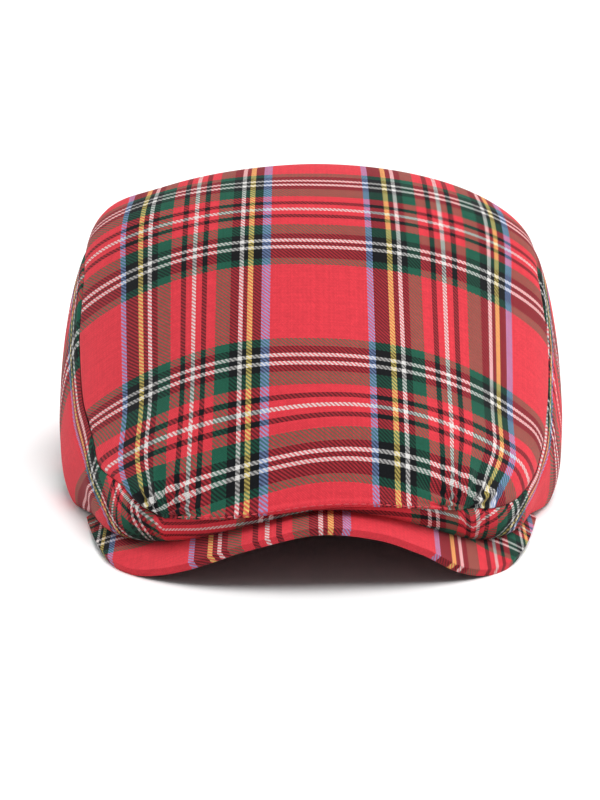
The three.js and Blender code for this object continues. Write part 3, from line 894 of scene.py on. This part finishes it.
def make_side_panel(name, node, sign, lays, weft_start, bends):
    places = SIDE_PLACES
    walls = wall_points(places)
    wall_arcs = arc_along(walls, 1)
    lap = np.maximum(0, lay_value(lays, "lap", places)) + SEAM_GAP
    height = wall_arcs[:, -1]
    down = lap[:, None] + (height - lap)[:, None] * SIDE_SHARES[None, :]
    wall = along_lines(walls, wall_arcs, down)
    outward = level_outward(places)
    foot = foot_line(places)
    turn = LEAST_TURN + np.clip(wall_value("turn", places), 0, 1) * (HEM_TURN - LEAST_TURN)
    turn = np.where(places <= LAST_ON_PEAK, FOOT_TURN, turn)
    turned = turn[:, None] * HEM_SHARES[None, :]
    hem = foot[:, None] - outward[:, None] * turned[..., None]
    grid = np.concatenate([wall, hem], axis=1)
    down = np.concatenate([down, height[:, None] + turned], axis=1)
    lengths = arc_along(walls, 0)
    along = lengths[:, [len(WALL_FINE) // 2]] + 0 * down
    warp, weft = side_threads(lays, down, along, weft_start, bends)

    grid[..., 0] = np.maximum(grid[..., 0], SEAM_GAP / 2)
    grid[0, :, 0] = SEAM_GAP / 2
    grid[-1, :, 0] = SEAM_GAP / 2
    normals = outward_normals(grid)
    roll_width = NARROW_ROLL + (1 - NARROW_ROLL) * smooth(*LOW_STRIP, height)[:, None]
    from_seam = (down - lap[:, None]) / roll_width
    from_back = lengths[-1, len(WALL_FINE) // 2] - along
    grid = rolled_in(grid, normals, np.minimum(from_seam, from_back))
    crease_at = lay_value(lays, "pair", places)[:, None] + PAIR_EDGE + 0.5 * CREASE
    creased = (smooth(3.8, 5.0, places) * smooth(9.5, 7.5, places))[:, None]
    grid = grid - normals * (CREASE_DEPTH * creased * hump(down, crease_at, CREASE_WIDTH))[..., None]
    standing = smooth(LAST_ON_PEAK, LAST_ON_PEAK - 1.0, places)[:, None]
    roll = FOOT_ROLL * standing * np.clip(1 - (height[:, None] - down) / FOOT_REACH, 0, 1) ** 2
    grid = grid - outward[:, None] * roll[..., None]
    grid[..., 2] = np.maximum(grid[..., 2], 0)
    grid[..., 0] *= sign
    grid = skewed(grid)
    if sign < 0:
        grid = grid[:, ::-1]
        warp = warp[:, ::-1]
        weft = weft[:, ::-1]
    piece = cloth_piece(name, grid, warp, weft, CLOTH, CLOTH_EDGE_ROUND, cloth, backing)
    placed(piece, node)


# Peak
PEAK_PLACES = np.linspace(0, len(PEAK_STATIONS) - 1, 140)
PEAK_SHARES = spread((0, 0.15, 14), (0.15, 1, 26))
PEAK_MIDDLE_WARP = 48.4  # place of its middle on the warp
PEAK_EDGE_WEFT = 66.0  # place on the weft of its foremost edge, in the red field
PEAK_PULL = 1.6  # most cloth that is drawn round its edge for each step to the side
PEAK_TAKE_UP = 0.1  # more cloth for each step to the right, from the next distance
PEAK_TAKE_UP_FROM = 10.0
PEAK_LEAN = 0.4  # slant of the weft towards its right tip, from the next distance
PEAK_LEAN_FROM = 60.0


def make_peak():
    half = peak_point(PEAK_PLACES[:, None], PEAK_SHARES[None, :])
    left = half[:0:-1] * np.array([-1.0, 1.0, 1.0])
    grid = np.concatenate([left, half])
    out = np.abs(grid[..., 0])
    edge = half[:, 0]
    steps = np.minimum(np.linalg.norm(np.diff(edge, axis=0), axis=-1), PEAK_PULL * np.diff(edge[:, 0]))
    from_middle = np.sign(grid[..., 0]) * np.interp(out, edge[:, 0], np.append(0, np.cumsum(steps)))
    warp = from_middle + PEAK_TAKE_UP * np.maximum(0, from_middle - PEAK_TAKE_UP_FROM)
    warp = warp + PEAK_MIDDLE_WARP
    weft = grid[..., 1] - PEAK_STATIONS[0].out_y + PEAK_EDGE_WEFT
    weft = weft + PEAK_LEAN * np.maximum(0, grid[..., 0] - PEAK_LEAN_FROM)
    faces_up = (slice(None), slice(None, None, -1))  # columns turned round, so that its face looks up
    grid = skewed(grid)[faces_up]
    piece = cloth_piece(
        "peak_cloth", grid, warp[faces_up], weft[faces_up], PEAK_THICK, PEAK_EDGE_ROUND, cloth, backing
    )
    placed(piece, "peak")


make_top_panel()
make_side_panel("left_side_cloth", "side_panel_left", -1, LEFT_LAYS, LEFT_WEFT, left_bends)
make_side_panel("right_side_cloth", "side_panel_right", 1, RIGHT_LAYS, RIGHT_WEFT, right_bends)
make_peak()

# Camera at the photograph's angle: elevation over the table, distance to the point looked at
CAMERA_ELEVATION = math.radians(17)
CAMERA_DISTANCE = 820.0
LOOK_AT = (-4.5, 2.9, 34.0)
PIXELS_PER_MM = 2.42  # at that point
PICTURE_HEIGHT = 800  # pixels
SENSOR = 36.0
camera_data = bpy.data.cameras.new("camera")
camera_data.sensor_width = SENSOR
camera_data.lens = PIXELS_PER_MM * CAMERA_DISTANCE * SENSOR / PICTURE_HEIGHT
camera = bpy.data.objects.new("camera", camera_data)
bpy.context.scene.collection.objects.link(camera)
back = CAMERA_DISTANCE * math.cos(CAMERA_ELEVATION)
up = CAMERA_DISTANCE * math.sin(CAMERA_ELEVATION)
camera.location = (LOOK_AT[0] * MM, (LOOK_AT[1] - back) * MM, (LOOK_AT[2] + up) * MM)
camera.rotation_euler = (math.pi / 2 - CAMERA_ELEVATION, 0, 0)
bpy.context.scene.camera = camera

# Pale table
bpy.ops.object.select_all(action="DESELECT")
bpy.ops.mesh.primitive_plane_add(size=8, location=(0, 0, 0))
table = bpy.context.object
table.name = "pale_table"
paint = bpy.data.materials.new("matt_white_paint")
paint.use_nodes = True
paint.node_tree.nodes["Principled BSDF"].inputs["Base Color"].default_value = linear("#FCFCFC")
paint.node_tree.nodes["Principled BSDF"].inputs["Roughness"].default_value = 0.9
table.data.materials.append(paint)


def soft_light(name, elevation, azimuth, patch, strength):
    """Even light from a wide patch, by angles; azimuth 0 is from the front, 90 from the right."""
    data = bpy.data.lights.new(name, "SUN")
    data.angle = math.radians(patch)
    data.energy = strength
    lamp = bpy.data.objects.new(name, data)
    bpy.context.scene.collection.objects.link(lamp)
    lamp.rotation_euler = (math.radians(90 - elevation), 0, math.radians(azimuth))


soft_light("ceiling", elevation=74, azimuth=30, patch=30, strength=2.4)
soft_light("left_window", elevation=30, azimuth=-110, patch=70, strength=1.2)
soft_light("right_window", elevation=30, azimuth=110, patch=70, strength=2.1)
world = bpy.data.worlds.new("studio")
world.use_nodes = True
world.node_tree.nodes["Background"].inputs["Color"].default_value = (1, 1, 1, 1)
world.node_tree.nodes["Background"].inputs["Strength"].default_value = 0.16
bpy.context.scene.world = world
bpy.context.scene.view_settings.view_transform = "Standard"
